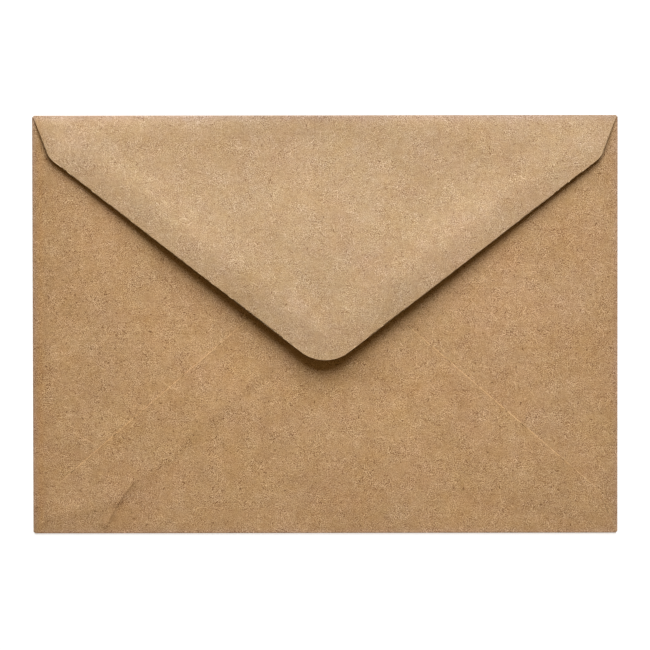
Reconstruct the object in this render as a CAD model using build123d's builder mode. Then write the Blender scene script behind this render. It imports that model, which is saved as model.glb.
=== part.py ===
from build123d import *
import math
import os

# A plain paper envelope, closed but not sealed, lying on its front panel.
# Frame, in millimetres: the outer face of the front panel lies on Z = 0, and +Z points up
# through the flaps. +X runs along the width and +Y towards the top fold, which carries
# the seal flap. The origin is under the middle of the outline.
# It is one folded sheet: a front panel, two side flaps folded in over it, a bottom flap
# folded up and glued down on the side flaps, and a seal flap folded down loosely on top.

# Closed size, from fold to fold.
WIDTH = 175.0
HEIGHT = 125.0

# The paper, and how its layers stand off one another.
SHEET = 0.15
POCKET = 0.10  # clear height inside, between the front panel and the side flaps
SEAL_CLEARANCE = 0.10  # between the side flaps and the seal flap, beside the top fold
SEAL_LIFT = 5.55  # rise of the seal flap from the top fold to its tip

# The flaps' outlines. A flap leaves its fold with two short shoulders, which lean in, and
# then runs in two long straight edges to a rounded point.
CORNER_RELIEF = 0.35  # the sheet is notched this far back from each corner
SHOULDER_LEAN = math.radians(21.0)  # of a shoulder, from square to its fold
SHOULDER_DEPTH = 12.8  # of the seal flap's and the bottom flap's shoulders
SEAL_DEPTH = 0.61 * HEIGHT  # from the top fold to where the seal flap's long edges aim
BOTTOM_DEPTH = 0.67 * HEIGHT  # the same for the bottom flap, from the bottom fold
GLUE_BAND = 15.5  # width of side flap that lies glued under the bottom flap's long edge
POINT_RADIUS = 11.6
SHOULDER_RADIUS = 6.0

# Flaps and the outlines that cut them overrun each other by this much, so that no cut
# grazes the paper.
OVERRUN = 1.0

# Outer radius of each fold. A fold is half a round tube, and its flap runs on from its
# upper edge: the side flaps lowest, then the bottom flap, then the seal flap.
side_fold = (SHEET + POCKET + SHEET) / 2
bottom_fold = side_fold + SHEET / 2
seal_fold = side_fold + (SEAL_CLEARANCE + SHEET) / 2

# The seal flap and the bottom flap.
half_width = WIDTH / 2
half_height = HEIGHT / 2
end_fold_half = half_width - CORNER_RELIEF
shoulder_x = end_fold_half - SHOULDER_DEPTH * math.tan(SHOULDER_LEAN)
seal_slope = math.atan2(SEAL_DEPTH - SHOULDER_DEPTH, shoulder_x)
bottom_slope = math.atan2(BOTTOM_DEPTH - SHOULDER_DEPTH, shoulder_x)

# The seal flap curls up along one arc, level at the top fold. Its run is as far as the
# tip, which rounding the point draws back.
seal_run = SEAL_DEPTH - POINT_RADIUS * (1 / math.cos(seal_slope) - 1) - seal_fold
curl_radius = (seal_run**2 + SEAL_LIFT**2) / (2 * SEAL_LIFT)
curl_angle = math.degrees(math.asin((seal_run + OVERRUN) / curl_radius))

# A side flap's long edge runs beside the bottom flap's, one glue band further under it.
# It starts on the side flap's own shoulder and aims at the envelope's middle height.
glue_x = GLUE_BAND * math.sin(bottom_slope) - shoulder_x
glue_y = SHOULDER_DEPTH - half_height - GLUE_BAND * math.cos(bottom_slope)
side_fold_half = half_height - CORNER_RELIEF
side_depth = half_width + glue_x - glue_y / math.tan(bottom_slope)
side_shoulder_depth = (side_depth * math.tan(bottom_slope) - side_fold_half) / (
    math.tan(bottom_slope) - math.tan(SHOULDER_LEAN)
)
side_shoulder_y = side_fold_half - side_shoulder_depth * math.tan(SHOULDER_LEAN)

# Sections are drawn about the middle of a fold: local X runs in over the panel, and
# local Y is up. Outlines are drawn on the floor from the middle of a fold's outer edge:
# local X runs along the fold, and local Y runs in over the panel.
side_section = Plane((side_fold - half_width, 0, side_fold), x_dir=(1, 0, 0), z_dir=(0, -1, 0))
side_outline = Plane((-half_width, 0, 0), x_dir=(0, -1, 0), z_dir=(0, 0, 1))
bottom_section = Plane(
    (0, bottom_fold - half_height, bottom_fold), x_dir=(0, 1, 0), z_dir=(1, 0, 0)
)
bottom_outline = Plane((0, -half_height, 0), x_dir=(1, 0, 0), z_dir=(0, 0, 1))
seal_section = Plane((0, half_height - seal_fold, seal_fold), x_dir=(0, -1, 0), z_dir=(-1, 0, 0))
seal_outline = Plane((0, half_height, 0), x_dir=(-1, 0, 0), z_dir=(0, 0, 1))


def draw_fold(radius):
    """Section of a fold, open on the flap's side."""
    ThreePointArc((0, radius), (-radius, 0), (0, -radius))
    Line((0, -radius), (0, SHEET - radius))
    ThreePointArc((0, SHEET - radius), (SHEET - radius, 0), (0, radius - SHEET))


def draw_flat_flap(radius, depth):
    """Section of a flat flap, on a fold of this radius."""
    Polyline((0, radius - SHEET), (depth, radius - SHEET), (depth, radius), (0, radius))


def flap_outline(plane, fold_half, shoulder_half, shoulder_depth, point_depth):
    """Face of a flap seen square on, overrunning its fold."""
    with BuildSketch(plane) as outline:
        with BuildLine():
            Polyline(
                (-fold_half, -OVERRUN),
                (-fold_half, 0),
                (-shoulder_half, shoulder_depth),
                (0, point_depth),
                (shoulder_half, shoulder_depth),
                (fold_half, 0),
                (fold_half, -OVERRUN),
                close=True,
            )
        make_face()
        fillet(outline.vertices().group_by(Axis.Y)[-1], radius=POINT_RADIUS)
        fillet(outline.vertices().group_by(Axis.Y)[2], radius=SHOULDER_RADIUS)
    return outline.sketch


with BuildPart() as side_flap:
    with BuildSketch(side_section):
        with BuildLine():
            draw_fold(side_fold)
            draw_flat_flap(side_fold, side_depth)
        make_face()
    extrude(amount=half_height, both=True)
    extrude(
        flap_outline(
            side_outline, side_fold_half, side_shoulder_y, side_shoulder_depth, side_depth
        ),
        amount=2 * side_fold + OVERRUN,
        mode=Mode.INTERSECT,
    )

with BuildPart() as bottom_flap:
    with BuildSketch(bottom_section):
        with BuildLine():
            draw_fold(bottom_fold)
            draw_flat_flap(bottom_fold, BOTTOM_DEPTH)
        make_face()
    extrude(amount=half_width, both=True)
    extrude(
        flap_outline(bottom_outline, end_fold_half, shoulder_x, SHOULDER_DEPTH, BOTTOM_DEPTH),
        amount=2 * bottom_fold + OVERRUN,
        mode=Mode.INTERSECT,
    )

with BuildPart() as seal_flap:
    with BuildSketch(seal_section):
        with BuildLine():
            draw_fold(seal_fold)
            curl_centre = (0, seal_fold - SHEET + curl_radius)
            lower_face = CenterArc(curl_centre, curl_radius, -90, curl_angle)
            upper_face = CenterArc(curl_centre, curl_radius - SHEET, -90, curl_angle)
            Line(lower_face @ 1, upper_face @ 1)
        make_face()
    extrude(amount=half_width, both=True)
    extrude(
        flap_outline(seal_outline, end_fold_half, shoulder_x, SHOULDER_DEPTH, SEAL_DEPTH),
        amount=2 * seal_fold + SEAL_LIFT + OVERRUN,
        mode=Mode.INTERSECT,
    )

with BuildPart() as envelope:
    with BuildSketch():
        with Locations((0, (bottom_fold - seal_fold) / 2)):
            Rectangle(WIDTH - 2 * side_fold, HEIGHT - bottom_fold - seal_fold)
    extrude(amount=SHEET)
    add(side_flap.part)
    add(side_flap.part.mirror(Plane.YZ))
    add(bottom_flap.part)
    add(seal_flap.part)

envelope.part.label = "envelope"
os.makedirs("parts", exist_ok=True)
export_step(envelope.part, "parts/envelope.step")
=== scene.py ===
import math

import bmesh
import bpy
import numpy as np
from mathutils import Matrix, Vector
from mathutils.geometry import delaunay_2d_cdt


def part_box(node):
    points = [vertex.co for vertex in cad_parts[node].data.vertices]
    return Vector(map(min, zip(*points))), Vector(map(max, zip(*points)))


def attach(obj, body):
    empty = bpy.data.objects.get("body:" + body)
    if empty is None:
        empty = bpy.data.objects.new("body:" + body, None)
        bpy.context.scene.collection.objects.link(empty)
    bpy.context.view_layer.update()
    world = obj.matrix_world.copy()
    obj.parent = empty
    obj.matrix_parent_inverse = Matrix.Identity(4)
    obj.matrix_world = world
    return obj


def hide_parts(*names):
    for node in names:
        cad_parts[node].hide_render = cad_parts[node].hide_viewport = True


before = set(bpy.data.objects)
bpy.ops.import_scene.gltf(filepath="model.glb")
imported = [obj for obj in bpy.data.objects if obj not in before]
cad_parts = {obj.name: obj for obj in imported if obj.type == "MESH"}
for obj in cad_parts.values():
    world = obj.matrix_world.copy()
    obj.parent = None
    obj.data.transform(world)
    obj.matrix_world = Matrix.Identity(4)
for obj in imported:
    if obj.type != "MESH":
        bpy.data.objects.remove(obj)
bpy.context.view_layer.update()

# A kraft paper envelope, lying on its front panel with its flaps up, folded here from one
# sheet. Lengths are millimetres in the row's frame up to the paper's material, and mesh
# vertices are scaled to metres as they are written. The material, stage, lamp and camera
# are in metres.
MM = 0.001
low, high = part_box("envelope")
half_w = (high.x - low.x) / 2 / MM
half_h = (high.y - low.y) / 2 / MM
floor_z = low.z

# ---------------------------------------------------------------- the sheet and its flaps
SHEET = 0.15
RELIEF = 0.35  # the sheet is notched this far back from each corner
LEAN = math.tan(math.radians(21.0))  # of a flap's shoulder, from square to its fold
SHOULDER = 12.8  # depth of the seal flap's and the bottom flap's shoulders
SEAL_POINT = 0.61 * 2 * half_h  # depth where the seal flap's long edges aim
BOTTOM_POINT = 0.67 * 2 * half_h  # the same for the bottom flap
GLUE_BAND = 15.5  # width of side flap that lies under the bottom flap's long edge
TIP_RADIUS = 11.6
SHOULDER_RADIUS = 6.0
FOLD_INSET = 0.1  # a flap's mesh starts this far in along its fold from the notches

# Outer radius of each fold.
SIDE_FOLD = 0.20
BOTTOM_FOLD = 0.275
TOP_FOLD = 0.325

# Lengths of the straight runs along the flaps' outlines, and of the mesh's triangles.
END_EDGE_STEP = 0.8
SIDE_EDGE_STEP = 1.0
PANEL_STEP = 1.6
END_FLAP_STEP = 0.92
SIDE_FLAP_STEP = 1.1
ARC_ROWS = 7  # rows of faces round a fold

# Rows of points in the flaps: in from the cut edge, past the fold, and beside a crease. The
# rest of a flap is a triangular grid.
EDGE_INSETS = (0.22, 0.7)
FOLD_RISES = (0.3, 0.8, 1.5)
CREASE_OFFSETS = (-0.9, -0.5, -0.25, -0.1, 0.0, 0.3, 0.7)
CREASE_STEP = 0.45
GRID_RISE = 2.3  # the grid's first row, past the fold
ROW_SHARE = 0.866  # of the grid's spacing, from row to row

end_half = half_w - RELIEF
shoulder_x = end_half - SHOULDER * LEAN
bottom_slope = math.atan2(BOTTOM_POINT - SHOULDER, shoulder_x)
glue_x = GLUE_BAND * math.sin(bottom_slope) - shoulder_x
glue_y = SHOULDER - half_h - GLUE_BAND * math.cos(bottom_slope)
side_half = half_h - RELIEF
side_point = half_w + glue_x - glue_y / math.tan(bottom_slope)
side_shoulder = (side_point * math.tan(bottom_slope) - side_half) / (
    math.tan(bottom_slope) - LEAN
)

# How the pocket and the bottom flap stand.
PUFF = 1.0  # height that the empty pocket swells to
PUFF_CREST = -9.0  # where it is fullest, up from the middle
SLACK = 0.4  # further swell of its lower middle
REST_GAP = 0.01  # between the bottom flap and the side flaps that it is glued to
STEP_DROP = 0.125  # of the bottom flap where a side flap ends under it
STEP_RIDGE = 0.12  # rise of the ridge along that edge
BOTTOM_DRIFT = 0.28  # the bottom flap lies this far to the left, from DRIFT_DEPTH on
DRIFT_DEPTH = 20.0

# How the seal flap stands.
SEAL_TIP = 73.0  # depth of its tip
SEAL_DRAW = 0.9975  # its depth seen from above, as a share of its real depth
LIFT = 3.95  # rise of its tip above the pocket
ROLL = 0.04  # rise just past its fold
SAG = 0.36  # drop of its middle past the fold
FLARE = 0.5  # rise all along its long edges
CURL = 0.50  # drop of its very edge
CURL_WIDTH = 9.0
CURL_RIDGE = 0.20  # rise of the low ridge behind the curl

# Heights of the random ripples.
BODY_RIPPLE = 0.06
FLAP_RIPPLE = 0.05
FINE_RIPPLE = 0.006

# Creases pressed into the flaps: a line across the sheet, its height, and the widths of the
# slopes on its left and on its right.
WRINKLE = {
    "line": np.array([(-66.3, -61.5), (-63.4, -55.6), (-60.4, -51.0), (-56.6, -46.0)]),
    "rise": 0.24,
    "left_width": 3.0,
    "right_width": 0.35,
}
FOOT = {
    "line": np.array([(-65.6, -60.9), (-62.8, -55.0)]),
    "rise": 0.15,
    "left_width": 1.0,
    "right_width": 0.5,
}
DENT = {
    "line": np.array([(-67.0, -36.8), (-70.4, -35.2), (-74.5, -33.6)]),
    "rise": 0.07,
    "left_width": 1.4,
    "right_width": 0.35,
}

# How far in from a cut edge the paper is pale, with lighter cut fibres and a painted highlight
# where the edge catches the light, and how strongly a flap just past its fold takes the painted
# shade of the top fold and the painted light of the bottom one.
CUT_WIDTH = 0.75
FOLD_SHADE = 0.2
FOLD_SHADE_WIDTH = 1.2

# Spots where the paper is paler: middle and size.
GREY_SPOT = (62.0, 8.0), (24.0, 22.0)
CREASE_SPOT = (-63.5, -46.5), (4.0, 6.0)

rng = np.random.default_rng(7)


def smooth(v):
    """Eased step, from 0 at 0 to 1 at 1."""
    v = np.clip(v, 0.0, 1.0)
    return v * v * (3.0 - 2.0 * v)


def bell(away, width):
    """1 where away is 0, and falling to 1/e a width off."""
    return np.exp(-((away / width) ** 2))


def spot(x, y, middle, size):
    """1 at the middle of a round spot, fading out all round it."""
    return bell(x - middle[0], size[0]) * bell(y - middle[1], size[1])


def waves(count, shortest, longest):
    """Random long ripples as (wave vector, phase, weight), for ripple()."""
    length = np.exp(rng.uniform(math.log(shortest), math.log(longest), count))
    way = rng.uniform(0.0, 2.0 * math.pi, count)
    k = 2.0 * math.pi / length
    weight = (length / longest) ** 1.2
    return k * np.cos(way), k * np.sin(way), rng.uniform(0.0, 2.0 * math.pi, count), weight


def ripple(x, y, made):
    """Sum of the waves at each point, mostly between -2 and 2."""
    kx, ky, phase, weight = made
    angle = x[:, None] * kx + y[:, None] * ky + phase
    return (np.sin(angle) * weight).sum(1) / math.sqrt((weight**2).sum() / 2.0)


def chain(corners, step):
    """Points along an open chain of straight runs, whose corners (point, radius) are arcs."""
    out = [np.array(corners[0][0], float)]
    for (before, _), (corner, radius), (after, _) in zip(corners, corners[1:], corners[2:]):
        p = np.array(corner, float)
        a, b = np.array(before, float) - p, np.array(after, float) - p
        a, b = a / np.linalg.norm(a), b / np.linalg.norm(b)
        half = math.acos(np.clip(a @ b, -1.0, 1.0)) / 2.0
        reach = radius / math.tan(half)
        bisector = (a + b) / np.linalg.norm(a + b)
        centre = p + bisector * radius / math.sin(half)
        turn = math.pi - 2.0 * half
        count = max(2, int(round(turn * radius / step)) + 1)
        start, end = p + a * reach - centre, p + b * reach - centre
        side = np.sign(start[0] * end[1] - start[1] * end[0])
        for k in range(count + 1):
            t = side * turn * k / count
            c, s = math.cos(t), math.sin(t)
            spoke = np.array([c * start[0] - s * start[1], s * start[0] + c * start[1]])
            out.append(centre + spoke)
    out.append(np.array(corners[-1][0], float))
    filled = [out[0]]
    for p, q in zip(out[:-1], out[1:]):
        count = max(1, int(round(np.linalg.norm(q - p) / step)))
        filled.extend(p + (q - p) * k / count for k in range(1, count + 1))
    return np.array(filled)


def outline(fold_half, shoulder_half, shoulder_depth, point, fold, step):
    """Right end of a flap's fold to its left end, round the tip, as (along, depth)."""
    first = fold_half - (fold_half - shoulder_half) * fold / shoulder_depth
    return chain(
        [
            ((first, fold), 0.0),
            ((shoulder_half, shoulder_depth), SHOULDER_RADIUS),
            ((0.0, point), TIP_RADIUS),
            ((-shoulder_half, shoulder_depth), SHOULDER_RADIUS),
            ((-first, fold), 0.0),
        ],
        step,
    )


def offset_from(points, line):
    """Signed distance from a chain, positive on its left, and how far along, from 0 to 1."""
    best = np.full(len(points), np.inf)
    left, along = np.ones(len(points)), np.zeros(len(points))
    for k, (p, q) in enumerate(zip(line[:-1], line[1:])):
        d, r = q - p, points - p
        t = np.clip((r @ d) / (d @ d), 0.0, 1.0)
        away = np.linalg.norm(r - t[:, None] * d, axis=1)
        near = away < best
        best = np.where(near, away, best)
        side = np.where(d[0] * r[:, 1] - d[1] * r[:, 0] < 0.0, -1.0, 1.0)
        left = np.where(near, side, left)
        along = np.where(near, (k + t) / (len(line) - 1), along)
    return best * left, along


def distance(points, line):
    """Distance from a chain."""
    return np.abs(offset_from(points, line)[0])


def inside(points, ring):
    """Whether each point lies inside a closed ring."""
    hit = np.zeros(len(points), bool)
    for p, q in zip(ring, np.roll(ring, -1, axis=0)):
        crosses = (p[1] > points[:, 1]) != (q[1] > points[:, 1])
        with np.errstate(divide="ignore", invalid="ignore"):
            at = (q[0] - p[0]) * (points[:, 1] - p[1]) / (q[1] - p[1]) + p[0]
        hit ^= crosses & (points[:, 0] < at)
    return hit


seal_edge = outline(end_half, shoulder_x, SHOULDER, SEAL_POINT, TOP_FOLD, END_EDGE_STEP)
bottom_edge = outline(
    end_half, shoulder_x, SHOULDER, BOTTOM_POINT, BOTTOM_FOLD, END_EDGE_STEP
)
side_edge = outline(
    side_half, side_half - side_shoulder * LEAN, side_shoulder, side_point, SIDE_FOLD,
    SIDE_EDGE_STEP,
)

# ------------------------------------------------------------------ the heights of the layers
body_waves = waves(16, 14.0, 70.0)
flap_waves = waves(14, 12.0, 60.0)
fine_waves = waves(40, 4.0, 11.0)


def puff(x, y):
    """Swell of the empty pocket, fullest a little below the middle."""
    above = (y - PUFF_CREST) / (half_h - PUFF_CREST)
    below = (y - PUFF_CREST) / (half_h + PUFF_CREST)
    up = np.where(y > PUFF_CREST, above, below)
    return PUFF * (1.0 - np.abs(x / half_w) ** 3) * (1.0 - np.abs(up) ** 2.6)


def from_fold(x, y):
    """Distance in from the nearest edge of the folded envelope."""
    return np.minimum(half_w - np.abs(x), half_h - np.abs(y))


def crease(x, y, line, rise, left_width, right_width):
    """A raised fold along a line, with a slope of its own width on each side."""
    away, along = offset_from(np.column_stack([x, y]), line)
    width = np.where(away > 0.0, left_width, right_width)
    fade = np.minimum(1.0, 4.0 * np.sin(math.pi * along))
    return rise * fade * bell(away, width)


def side_height(x, y):
    """The side flaps lie on the swollen pocket."""
    low_part = smooth((-12.0 - y) / 20.0) * smooth((y + half_h) / 25.0)
    rippled = BODY_RIPPLE * ripple(x, y, body_waves) + FINE_RIPPLE * ripple(x, y, fine_waves)
    return (
        2.0 * SIDE_FOLD - SHEET / 2.0
        + puff(x, y)
        + SLACK * low_part * bell(x - 8.0, 30.0)
        + crease(x, y, **DENT)
        + smooth(from_fold(x, y) / 8.0) * rippled
    )


def bottom_height(x, y):
    """The bottom flap lies on the side flaps, whose edges press a step through it."""
    left = np.column_stack([y, x + half_w])
    right = np.column_stack([y, half_w - x])
    step, ridge = np.ones(len(x)), np.zeros(len(x))
    # The left edge shows more sharply than the right.
    for local, width, share in ((left, 3.0, 1.0), (right, 4.5, 0.5)):
        away = distance(local, side_edge) * np.where(inside(local, side_edge), -1.0, 1.0)
        step = np.minimum(step, 1.0 - share * (1.0 - smooth((away + 0.6) / width)))
        ridge = np.maximum(ridge, share * bell(away + 1.5, 3.0))
    pressed = smooth((y + half_h) / 6.0) * (STEP_RIDGE * ridge - STEP_DROP * step)
    creased = crease(x, y, **WRINKLE) + crease(x, y, **FOOT)
    return side_height(x, y) + SHEET + REST_GAP + pressed + creased


def seal_height(x, y):
    """The seal flap stands off the pocket, most at its tip and along its long edges."""
    depth = half_h - y
    edge = distance(np.column_stack([x, depth]), seal_edge)
    # How steadily it climbs from the fold: the middle sags first and climbs later.
    slack = bell(x + 2.0, 20.0 + 2.0 * depth) * (1.0 - smooth((depth - 12.0) / 40.0))
    climb = LIFT * np.clip(depth / SEAL_TIP, 0.0, 1.0) ** (0.57 + 0.58 * slack)
    roll = ROLL * smooth(depth / 3.0) * (1.0 - 0.9 * slack)
    sag = -SAG * slack * smooth(depth / 9.0)
    # Its long edges flare up, in some places more than in others.
    flare = FLARE * (1.0 - smooth((edge - 4.0) / 16.0)) * smooth(depth / 25.0)
    lean = 0.55 * bell(np.abs(x) - 47.0, 17.0) + 0.45 * bell(x - 27.0, 13.0)
    lean -= 0.25 * bell(x + 27.0, 12.0)
    flare += lean * (1.0 - smooth((edge - 2.0) / 26.0)) * smooth(depth / 36.0)
    # Its very edge curls down again, behind a low ridge, and its tip turns up.
    tip = bell(x, 14.0)
    upturn = 0.0008 * np.clip(depth - 52.0, 0.0, 30.0) ** 2 * tip
    curl = -CURL * np.clip(1.0 - edge / CURL_WIDTH, 0.0, 1.0) ** 2 * (1.0 - 0.45 * tip)
    ridge = CURL_RIDGE * bell(edge - 8.5, 4.0)
    rippled = FLAP_RIPPLE * ripple(x, y, flap_waves) + FINE_RIPPLE * ripple(x, y, fine_waves)
    return (
        2.0 * TOP_FOLD - SHEET / 2.0
        + puff(x, y)
        + climb + roll + sag + flare + upturn
        + (curl + ridge) * smooth(depth / 25.0)
        + smooth(depth / 8.0) * rippled
    )


# --------------------------------------------------------------------- folding up the sheet
# The middle surface of the sheet. Each vertex has its place on the flat blank, its place
# when folded, and how far it is a cut edge, a fold and part of the seal flap.
blank, place, cut, crease_of, on_flap = [], [], [], [], []
faces = []


def add(flat, folded, edge=0.0, fold=0.0, flap=0.0):
    """Adds a vertex and returns its number."""
    blank.append(flat)
    place.append(folded)
    cut.append(edge)
    crease_of.append(fold)
    on_flap.append(flap)
    return len(blank) - 1


def add_face(ids):
    """Adds a face, turned so that it is counter-clockwise on the flat blank."""
    ring = [blank[i] for i in ids]
    area = sum(p[0] * q[1] - q[0] * p[1] for p, q in zip(ring, ring[1:] + ring[:1]))
    faces.append(ids if area > 0.0 else ids[::-1])


def panel_lines(first, last, flap_half):
    """The panel's grid lines one way: evenly spaced along a flap, and one past each end."""
    reach = flap_half - FOLD_INSET
    count = int(round(2.0 * reach / PANEL_STEP))
    return [first] + list(np.linspace(-reach, reach, count + 1)) + [last]


panel_x = panel_lines(SIDE_FOLD - half_w, half_w - SIDE_FOLD, end_half)
panel_y = panel_lines(BOTTOM_FOLD - half_h, half_h - TOP_FOLD, side_half)
last_x, last_y = len(panel_x) - 1, len(panel_y) - 1
panel = {}
for i, u in enumerate(panel_x):
    for j, v in enumerate(panel_y):
        corner = 1.0 if i in (0, last_x) and j in (0, last_y) else 0.0
        panel[i, j] = add((u, v), (u, v, SHEET / 2.0), corner)
for i in range(last_x):
    for j in range(last_y):
        add_face([panel[i, j], panel[i + 1, j], panel[i + 1, j + 1], panel[i, j + 1]])


def roll_over(row, along, fold, height, to_place, to_blank, seal):
    """Rolls the sheet over a fold, from a row of the panel's vertices to a flap's first row."""
    arc = math.pi * (fold - SHEET / 2.0)
    ends = np.array([to_place(s, fold) for s in along])
    tops = height(ends[:, 0], ends[:, 1])
    for k in range(1, ARC_ROWS + 1):
        share = k / ARC_ROWS
        turn = math.pi * share
        depth = fold - (fold - SHEET / 2.0) * math.sin(turn)
        here = []
        for s, top in zip(along, tops):
            x, y = to_place(s, depth)
            z = SHEET / 2.0 + (top - SHEET / 2.0) * (1.0 - math.cos(turn)) / 2.0
            rim = 1.0 if s in (along[0], along[-1]) else 0.0
            here.append(
                add(to_blank(s, arc * share), (x, y, z), rim, math.sin(turn), seal * share)
            )
        for i in range(len(along) - 1):
            add_face([row[i], row[i + 1], here[i + 1], here[i]])
        row = here
    return row


def beside(line, spread, step):
    """Rows of points along a chain of straight runs, at each signed offset from it."""
    rows = []
    for p, q in zip(line[:-1], line[1:]):
        d = q - p
        span = np.linalg.norm(d)
        left = np.array([-d[1], d[0]]) / span
        for k in range(int(span / step) + 1):
            rows.extend(p + d * (k * step / span) + left * t for t in spread)
    return np.array(rows)


def inward_from(line):
    """Unit vectors square to a flap's outline, into the flap."""
    way = np.roll(line, -1, axis=0) - np.roll(line, 1, axis=0)
    way[0], way[-1] = line[1] - line[0], line[-1] - line[-2]
    way /= np.linalg.norm(way, axis=1)[:, None]
    inward = np.column_stack([-way[:, 1], way[:, 0]])
    return -inward if inward[len(line) // 2][1] > 0.0 else inward


def fill_flap(ring, along, line, fold, spacing, mark):
    """Points inside a flap: rows beside its edges and its crease, and a grid between them.

    Each set keeps a little clear of the others, so that no triangle is a sliver.
    """
    filling = []
    inward = inward_from(line)
    for inset in EDGE_INSETS:
        moved = line + inward * inset
        filling.append(moved[moved[:, 1] > fold + 0.5])
    for rise in FOLD_RISES:
        level = np.array([(s, fold + rise) for s in along])
        filling.append(level[distance(level, line) > 1.0])
    cols = np.arange(-half_w, half_w, spacing)
    rows = np.arange(fold + GRID_RISE, line[:, 1].max(), spacing * ROW_SHARE)
    shifts = [spacing / 2.0 if k % 2 else 0.0 for k in range(len(rows))]
    grid = np.array([(s + shift, d) for d, shift in zip(rows, shifts) for s in cols])
    grid = grid[inside(grid, ring)]
    grid = grid[distance(grid, line) > EDGE_INSETS[-1] + spacing * 0.55]
    if mark is not None:
        grid = grid[distance(grid, mark) > 1.3]
        close = beside(mark, CREASE_OFFSETS, CREASE_STEP)
        filling.append(close[inside(close, ring) & (distance(close, line) > 0.5)])
    return filling + [grid]


def fold_flap(row, along, edge, fold, height, to_place, to_blank, spacing, seal=0.0, mark=None):
    """Rolls the sheet over from a row of the panel's vertices and lays a flap beyond it."""
    first_row = roll_over(row, along, fold, height, to_place, to_blank, seal)
    line = edge[1:-1]
    ring = np.vstack([[(s, fold) for s in along], line])
    points = np.vstack([ring] + fill_flap(ring, along, line, fold, spacing, mark))
    n = len(ring)
    loop = [(i, (i + 1) % n) for i in range(n)]
    # Output type 1 is the triangles inside the loop. Each vertex's source is its number
    # among the points given.
    made = delaunay_2d_cdt([Vector(p) for p in points], loop, [], 1, 1e-5, True)
    spots, triangles, sources = np.array([tuple(v) for v in made[0]]), made[2], made[3]
    xy = np.array([to_place(s, d) for s, d in spots])
    z = height(xy[:, 0], xy[:, 1])
    rim_away = distance(spots, line)
    arc = math.pi * (fold - SHEET / 2.0)
    ids = []
    for i, (s, d) in enumerate(spots):
        source = sources[i][0] if sources[i] else -1
        if 0 <= source < len(along):
            ids.append(first_row[source])
        else:
            rim = 1.0 if 0 <= source < n else max(0.0, CUT_WIDTH - rim_away[i])
            creased = FOLD_SHADE * bell(d - fold, FOLD_SHADE_WIDTH)
            flat = to_blank(s, arc + d - fold)
            ids.append(add(flat, (xy[i, 0], xy[i, 1], z[i]), rim, creased, seal))
    for triangle in triangles:
        add_face([ids[i] for i in triangle])


# Each flap has two maps from (along its fold, depth in over the panel): to its folded place,
# and to its place on the blank.
def seal_place(s, d):
    return s, half_h - SEAL_DRAW * d


def seal_blank(s, q):
    return s, half_h - TOP_FOLD + q


def bottom_place(s, d):
    return s - BOTTOM_DRIFT * min(1.0, d / DRIFT_DEPTH), d - half_h


def bottom_blank(s, q):
    return s, BOTTOM_FOLD - half_h - q


def left_place(s, d):
    return d - half_w, s


def left_blank(s, q):
    return SIDE_FOLD - half_w - q, s


def right_place(s, d):
    return half_w - d, s


def right_blank(s, q):
    return half_w - SIDE_FOLD + q, s


span_x, span_y = panel_x[1:-1], panel_y[1:-1]
fold_flap(
    [panel[i, last_y] for i in range(1, last_x)], span_x, seal_edge, TOP_FOLD,
    seal_height, seal_place, seal_blank, END_FLAP_STEP, seal=1.0,
)
fold_flap(
    [panel[i, 0] for i in range(1, last_x)], span_x, bottom_edge, BOTTOM_FOLD,
    bottom_height, bottom_place, bottom_blank, END_FLAP_STEP,
    mark=WRINKLE["line"] + (0.0, half_h),
)
fold_flap(
    [panel[0, j] for j in range(1, last_y)], span_y, side_edge, SIDE_FOLD,
    side_height, left_place, left_blank, SIDE_FLAP_STEP,
    mark=DENT["line"][:, ::-1] + (0.0, half_w),
)
fold_flap(
    [panel[last_x, j] for j in range(1, last_y)], span_y, side_edge, SIDE_FOLD,
    side_height, right_place, right_blank, SIDE_FLAP_STEP,
)


# ------------------------------------------------------------- giving the sheet its thickness
def vertex_normals(points):
    """Unit normals of the middle surface, weighted by the areas of the faces round a vertex."""
    normal = np.zeros_like(points)
    for ids in faces:
        p = points[list(ids)]
        n = np.cross(p[1] - p[0], p[2] - p[0])
        if len(ids) == 4:
            n = n + np.cross(p[2] - p[0], p[3] - p[0])
        normal[list(ids)] += n
    return normal / np.linalg.norm(normal, axis=1)[:, None]


place = np.array(place)
count = len(place)
shift = vertex_normals(place) * SHEET / 2.0
edges = {(a, b) for ids in faces for a, b in zip(ids, ids[1:] + ids[:1])}
rims = sorted((a, b) for a, b in edges if (b, a) not in edges)
solid = [list(ids) for ids in faces]
solid += [[i + count for i in ids[::-1]] for ids in faces]
solid += [[b, a, a + count, b + count] for a, b in rims]

mesh = bpy.data.meshes.new("paper")
mesh.from_pydata((np.vstack([place + shift, place - shift]) * MM).tolist(), [], solid)
mesh.polygons.foreach_set("use_smooth", [True] * len(mesh.polygons))
mesh.update()
rim_pairs = {frozenset(e) for e in rims} | {frozenset((a + count, b + count)) for a, b in rims}
sharp = mesh.attributes.new("sharp_edge", "BOOLEAN", "EDGE")
sharp.data.foreach_set("value", [frozenset(e.vertices) in rim_pairs for e in mesh.edges])

# The paper's pattern follows the flat blank, in metres.
loops = np.zeros(len(mesh.loops), np.int32)
mesh.loops.foreach_get("vertex_index", loops)
sheet_uv = mesh.uv_layers.new(name="sheet")
flat = np.array(blank) * MM
sheet_uv.data.foreach_set("uv", flat[loops % count].astype(np.float32).ravel())
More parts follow.
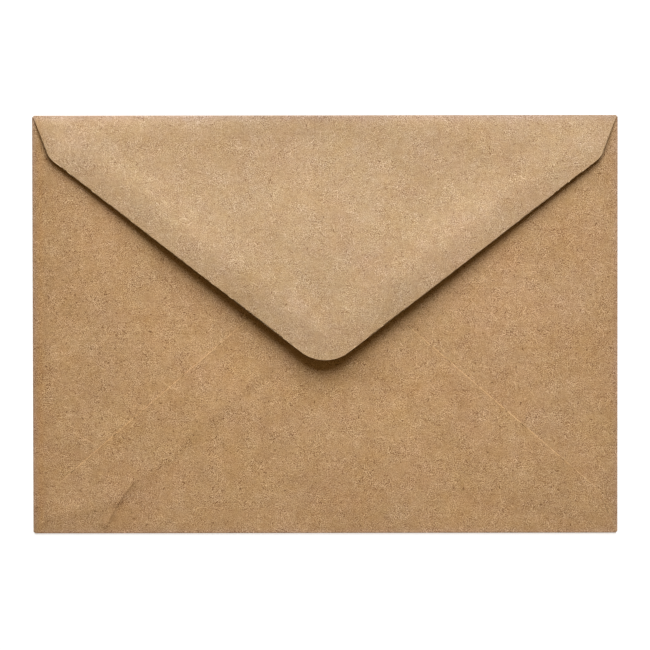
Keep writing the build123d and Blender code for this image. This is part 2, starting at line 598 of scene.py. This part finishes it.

# Painted light and shade, as a brightness: painted shade at the sides and the bottom, where the
# pocket slopes away from the lamp, painted light and shade unevenly along the top, painted
# shade over the top fold and painted light round the bottom one, and two paler spots.
x, y = place[:, 0], place[:, 1]
crease_of, on_flap = np.array(crease_of), np.array(on_flap)
painted_light = 1.0 - 0.14 * bell(half_w + x, 4.5) - 0.055 * bell(half_w - x, 5.0)
painted_light -= 0.06 * smooth((np.abs(x) - 45.0) / 30.0) * (1.0 - on_flap)
painted_light -= (0.05 + 0.07 * smooth((-15.0 - x) / 30.0)) * bell(half_h + y, 5.0)
top_change = 0.05 * smooth((-45.0 - x) / 25.0) - 0.06 * smooth((x - 25.0) / 25.0)
painted_light += top_change * bell(half_h - y, 5.0)
# Painted shade over the top fold, which faces the lamp.
painted_light *= 1.0 - 0.48 * crease_of * (y > half_h - 1.0)
# Painted light round the bottom fold and along the bottom edge, which face away from the lamp.
painted_light *= 1.0 + 0.12 * crease_of * (y < 1.0 - half_h)
painted_light += 0.16 * bell(half_h + y, 0.6)
painted_light += 0.045 * spot(x, y, *GREY_SPOT) + 0.04 * spot(x, y, *CREASE_SPOT)

# The colour is greyed beside every fold, widest at the top, and in one of the spots. A
# ruddy band runs up the left side.
faded = np.maximum(bell(from_fold(x, y), 1.0), bell(half_h - y, 1.7))
faded = np.maximum(faded, 0.25 * spot(x, y, *GREY_SPOT))
ruddy = bell(x + half_w - 2.2, 1.1)
marks = {"cut": cut, "painted_light": painted_light, "seal": on_flap, "faded": faded, "ruddy": ruddy}
for name, values in marks.items():
    made = mesh.attributes.new(name, "FLOAT", "POINT")
    made.data.foreach_set("value", np.array(list(values) * 2, np.float32))

paper = bpy.data.objects.new("paper", mesh)
bpy.context.collection.objects.link(paper)
paper.location.z = floor_z
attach(paper, "root")
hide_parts("envelope")

# --------------------------------------------------------------------------- the kraft paper
material = bpy.data.materials.new("kraft_paper")
material.use_nodes = True
tree = material.node_tree
tree.nodes.clear()


def node(kind, **values):
    """Adds a node with these settings."""
    made = tree.nodes.new(kind)
    for key, value in values.items():
        setattr(made, key, value)
    return made


def link(value, socket):
    """Feeds a socket with another node's output, or with a plain value."""
    if isinstance(value, bpy.types.NodeSocket):
        tree.links.new(value, socket)
    else:
        socket.default_value = value


def calc(operation, *inputs, clamp=False):
    """Result of a maths node on numbers or other nodes' outputs."""
    made = node("ShaderNodeMath", operation=operation, use_clamp=clamp)
    for value, socket in zip(inputs, made.inputs):
        link(value, socket)
    return made.outputs[0]


def times(value, factor):
    return calc("MULTIPLY", value, factor)


def plus(value, *others):
    for other in others:
        value = calc("ADD", value, other)
    return value


def less(value, factor, full=1.0):
    """What is left of full once a share of the value is taken off it."""
    return calc("SUBTRACT", full, times(value, factor))


def vec(operation, *inputs):
    """The same for vectors."""
    made = node("ShaderNodeVectorMath", operation=operation)
    for value, socket in zip(inputs, made.inputs):
        link(value, socket)
    return made.outputs["Vector"]


def mark_of(name):
    """One of the values that the mesh's vertices carry."""
    return node("ShaderNodeAttribute", attribute_name=name).outputs["Fac"]


def noise(start, scale, detail, roughness):
    """Noise about 0 over the sheet. Each pattern starts at a place of its own."""
    made = node("ShaderNodeTexNoise", noise_dimensions="3D")
    link(vec("ADD", sheet_at, start), made.inputs["Vector"])
    made.inputs["Scale"].default_value = scale
    made.inputs["Detail"].default_value = detail
    made.inputs["Roughness"].default_value = roughness
    return calc("SUBTRACT", made.outputs[0], 0.5)


def flecks(scale, thin, long, share, shift):
    """Short bent fibres, one at most in each cell, lying every way: 1 on a fibre."""
    moved = vec("ADD", sheet_at, (shift, shift * 0.7, 0.0))
    cell = node("ShaderNodeTexVoronoi", voronoi_dimensions="2D", feature="F1")
    link(moved, cell.inputs["Vector"])
    cell.inputs["Scale"].default_value = scale
    random = node("ShaderNodeSeparateColor")
    link(cell.outputs["Color"], random.inputs[0])
    turned = node("ShaderNodeVectorRotate", rotation_type="Z_AXIS")
    link(vec("SUBTRACT", moved, cell.outputs["Position"]), turned.inputs["Vector"])
    link(times(random.outputs[0], 2.0 * math.pi), turned.inputs["Angle"])
    local = node("ShaderNodeSeparateXYZ")
    link(turned.outputs[0], local.inputs[0])
    along, aside = local.outputs[0], local.outputs[1]
    bend = times(times(along, along), 0.25 / long)
    size = plus(times(random.outputs[2], 0.8), 0.5)
    across = calc("DIVIDE", plus(aside, bend), thin)
    down = calc("DIVIDE", along, times(size, long))
    reach = plus(
        calc("POWER", calc("ABSOLUTE", across), 2.0), calc("POWER", calc("ABSOLUTE", down), 4.0)
    )
    shape = calc("SUBTRACT", 1.0, reach, clamp=True)
    return times(shape, calc("LESS_THAN", random.outputs[1], share))


def multiplied(colour, tint, share=1.0):
    """The colour times the tint, as far as the share says."""
    made = node("ShaderNodeMix", data_type="RGBA", blend_type="MULTIPLY")
    link(share, made.inputs[0])
    link(colour, made.inputs[6])
    link(tint, made.inputs[7])
    return made.outputs[2]


sheet_at = node("ShaderNodeUVMap", uv_map="sheet").outputs[0]
cut_at, painted_light_at, seal_at = mark_of("cut"), mark_of("painted_light"), mark_of("seal")
faded_at, ruddy_at = mark_of("faded"), mark_of("ruddy")

grain = noise((0.0, 0.0, 0.0), 4300.0, 1.0, 0.6)
tooth = noise((0.3, 0.1, 0.2), 900.0, 4.0, 0.6)
mottle = noise((0.7, 0.2, 0.4), 260.0, 4.0, 0.6)
cloud = noise((0.2, 0.9, 0.6), 60.0, 2.0, 0.5)
patch = noise((0.4, 0.6, 0.1), 200.0, 2.0, 0.5)
pinker = noise((0.8, 0.5, 0.3), 60.0, 4.0, 0.85)
bluer = noise((0.1, 0.3, 0.8), 60.0, 4.0, 0.85)

# Fibres: cells in a metre, half thickness and half length in metres, share of cells with one,
# and a shift of the whole pattern.
pale = flecks(900.0, 0.00012, 0.0006, 0.7, 0.05)
pale_mid = flecks(620.0, 0.00014, 0.0009, 0.6, 0.83)
pale_long = flecks(420.0, 0.00015, 0.0012, 0.45, 0.21)
dark = flecks(800.0, 0.00012, 0.0006, 0.6, 0.33)
dark_long = flecks(480.0, 0.00013, 0.0011, 0.5, 0.74)
shive = flecks(190.0, 0.00018, 0.0005, 0.24, 0.47)
shive_fine = flecks(330.0, 0.00014, 0.0003, 0.30, 0.61)


def paper_tone():
    """Brightness of the paper's pattern, about 0.5."""
    tone = times(grain, 3.5)
    fibres = (
        (pale, 0.30), (pale_mid, 0.26), (pale_long, 0.34), (dark, -0.28), (dark_long, -0.36),
    )
    for fibre, weight in fibres:
        tone = plus(tone, times(fibre, weight))
    uneven = calc("MAXIMUM", 0.25, plus(times(patch, 2.6), 1.0))
    tone = times(tone, times(uneven, less(cut_at, 0.6)))
    tone = plus(tone, times(tooth, 0.50), times(mottle, 0.52), times(cloud, 0.26))
    tone = times(tone, less(seal_at, 0.17, full=1.10))
    # A pale line along each cut edge: lighter cut fibres, and a painted highlight where the
    # raised edge catches the light.
    tone = plus(tone, times(calc("POWER", cut_at, 3.0), 0.17))
    return plus(times(tone, 0.46), 0.5)


def paper_tint_and_painted_light():
    """Colour that painted light and shade multiply the paper's by, with redder and bluer
    patches.
    """
    # Painted light and shade from the mesh, made patchy by the pinker noise.
    light_and_tone = times(painted_light_at, less(pinker, 0.30))
    red = plus(times(pinker, 0.23), 1.0, times(ruddy_at, 0.05), times(faded_at, -0.02))
    blue = plus(
        times(bluer, 0.42), 1.0, times(pinker, -0.22), times(ruddy_at, -0.09),
        times(faded_at, 0.21),
    )
    tint_and_light = node("ShaderNodeCombineColor")
    link(times(light_and_tone, red), tint_and_light.inputs[0])
    link(light_and_tone, tint_and_light.inputs[1])
    link(times(light_and_tone, blue), tint_and_light.inputs[2])
    return tint_and_light.outputs[0]


def paper_colour():
    """The pattern in the paper's browns, with painted light and shade, and with specks."""
    ramp = node("ShaderNodeValToRGB")
    link(paper_tone(), ramp.inputs[0])
    dark_end, pale_end = ramp.color_ramp.elements
    dark_end.position, dark_end.color = 0.0, (0.088, 0.021, 0.004, 1.0)
    pale_end.position, pale_end.color = 1.0, (0.768, 0.540, 0.334, 1.0)
    ramp.color_ramp.elements.new(0.5).color = (0.420, 0.262, 0.129, 1.0)
    # The seal flap gets a lighter, greyer copy of the paper's colour: painted light, for a flap
    # that tilts up to the lamp and catches its sheen.
    colour = multiplied(ramp.outputs[0], (0.99, 1.09, 1.26, 1.0), share=seal_at)
    colour = multiplied(colour, paper_tint_and_painted_light())
    # Dark brown specks, fainter on the seal flap and missing from the cut edges.
    speck = calc("MAXIMUM", shive, times(shive_fine, less(seal_at, 0.35)))
    speck = times(speck, less(seal_at, 0.18, full=0.90))
    specked = node("ShaderNodeMix", data_type="RGBA", blend_type="MIX")
    link(times(speck, less(cut_at, 0.98)), specked.inputs[0])
    link(colour, specked.inputs[6])
    specked.inputs[7].default_value = (0.118, 0.052, 0.018, 1.0)
    return specked.outputs[2]


def paper_relief():
    """Tooth of the paper's surface, as a bumped normal."""
    height = plus(times(grain, 0.5), tooth, times(mottle, 1.2))
    height = plus(height, times(plus(pale_long, pale), 0.25))
    bump = node("ShaderNodeBump")
    link(height, bump.inputs["Height"])
    bump.inputs["Strength"].default_value = 1.0
    bump.inputs["Distance"].default_value = 0.00006
    return bump.outputs[0]


surface = node("ShaderNodeBsdfPrincipled")
link(paper_colour(), surface.inputs["Base Color"])
link(paper_relief(), surface.inputs["Normal"])
surface.inputs["Roughness"].default_value = 0.85
surface.inputs["Specular IOR Level"].default_value = 0.12
result = node("ShaderNodeOutputMaterial")
link(surface.outputs[0], result.inputs[0])
mesh.materials.append(material)

# ------------------------------------------------------------------------- floor and light
STAGE_REACH = 3.0
FLOOR_DROP = 0.00002  # keeps the floor clear of the paper that lies on it


def glowing(name, form, base, glow, glow_strength):
    """Object with the form's surface, matt grey and glowing."""
    form_mesh = bpy.data.meshes.new(name)
    form.to_mesh(form_mesh)
    form.free()
    paint = bpy.data.materials.new(name)
    paint.use_nodes = True
    shader = paint.node_tree.nodes["Principled BSDF"]
    shader.inputs["Base Color"].default_value = (base, base, base, 1.0)
    shader.inputs["Roughness"].default_value = 0.9
    shader.inputs["Specular IOR Level"].default_value = 0.0
    shader.inputs["Emission Color"].default_value = (*glow, 1.0)
    shader.inputs["Emission Strength"].default_value = glow_strength
    form_mesh.materials.append(paint)
    made = bpy.data.objects.new(name, form_mesh)
    bpy.context.collection.objects.link(made)
    return made


floor_form = bmesh.new()
bmesh.ops.create_grid(floor_form, x_segments=1, y_segments=1, size=STAGE_REACH)
floor = glowing("floor", floor_form, 0.45, (1.0, 1.0, 1.0), 0.7)
floor.location.z = floor_z - FLOOR_DROP

# A pale backdrop all round the floor. Only the camera sees it, so it neither lights nor
# shades the paper.
dome_form = bmesh.new()
bmesh.ops.create_uvsphere(dome_form, u_segments=48, v_segments=24, radius=0.98 * STAGE_REACH)
dome = glowing("backdrop", dome_form, 0.0, (0.80, 0.79, 0.77), 1.0)
dome.visible_diffuse = False
dome.visible_glossy = False
dome.visible_transmission = False
dome.visible_shadow = False

# Weak warm light from all round.
world = bpy.data.worlds.new("studio")
bpy.context.scene.world = world
world.use_nodes = True
world.node_tree.nodes["Background"].inputs["Color"].default_value = (1.0, 0.68, 0.28, 1.0)
world.node_tree.nodes["Background"].inputs["Strength"].default_value = 0.20

# One softbox, behind the top fold and a little to the right.
KEY_AIM = Vector((0.0, -0.01, 0.0))
KEY_AZIMUTH = math.radians(5.5)  # clockwise from +Y
KEY_ELEVATION = math.radians(34.0)
KEY_AWAY = 1.3
key_way = Vector(
    (
        math.sin(KEY_AZIMUTH) * math.cos(KEY_ELEVATION),
        math.cos(KEY_AZIMUTH) * math.cos(KEY_ELEVATION),
        math.sin(KEY_ELEVATION),
    )
)
lamp = bpy.data.lights.new("key", "AREA")
lamp.shape = "RECTANGLE"
lamp.size = 0.95
lamp.size_y = 1.12
lamp.energy = 33.8
key = bpy.data.objects.new("key", lamp)
key.location = KEY_AIM + key_way * KEY_AWAY
key.rotation_euler = key_way.to_track_quat("Z", "Y").to_euler()
bpy.context.collection.objects.link(key)

# ---------------------------------------------------------------------------------- camera
VIEW_SHARE = 0.9005  # of the picture's width that the envelope fills
VIEW_CENTRE = Vector((-0.00003, -0.00016, 0.0008))  # from the floor's origin
VIEW_TILT = math.radians(0.9)  # off straight down, from the top fold's side
VIEW_ROLL = math.radians(-0.08)
lens = bpy.data.cameras.new("camera")
lens.lens = 120.0
lens.sensor_width = 36.0
lens.clip_start, lens.clip_end = 0.01, 10.0
away = 2.0 * half_w * MM / VIEW_SHARE * lens.lens / lens.sensor_width
camera = bpy.data.objects.new("camera", lens)
camera.location = VIEW_CENTRE + Vector(
    (0.0, away * math.sin(VIEW_TILT), floor_z + away * math.cos(VIEW_TILT))
)
camera.rotation_euler = (-VIEW_TILT, 0.0, VIEW_ROLL)
bpy.context.collection.objects.link(camera)
bpy.context.scene.camera = camera
bpy.context.scene.view_settings.view_transform = "Standard"
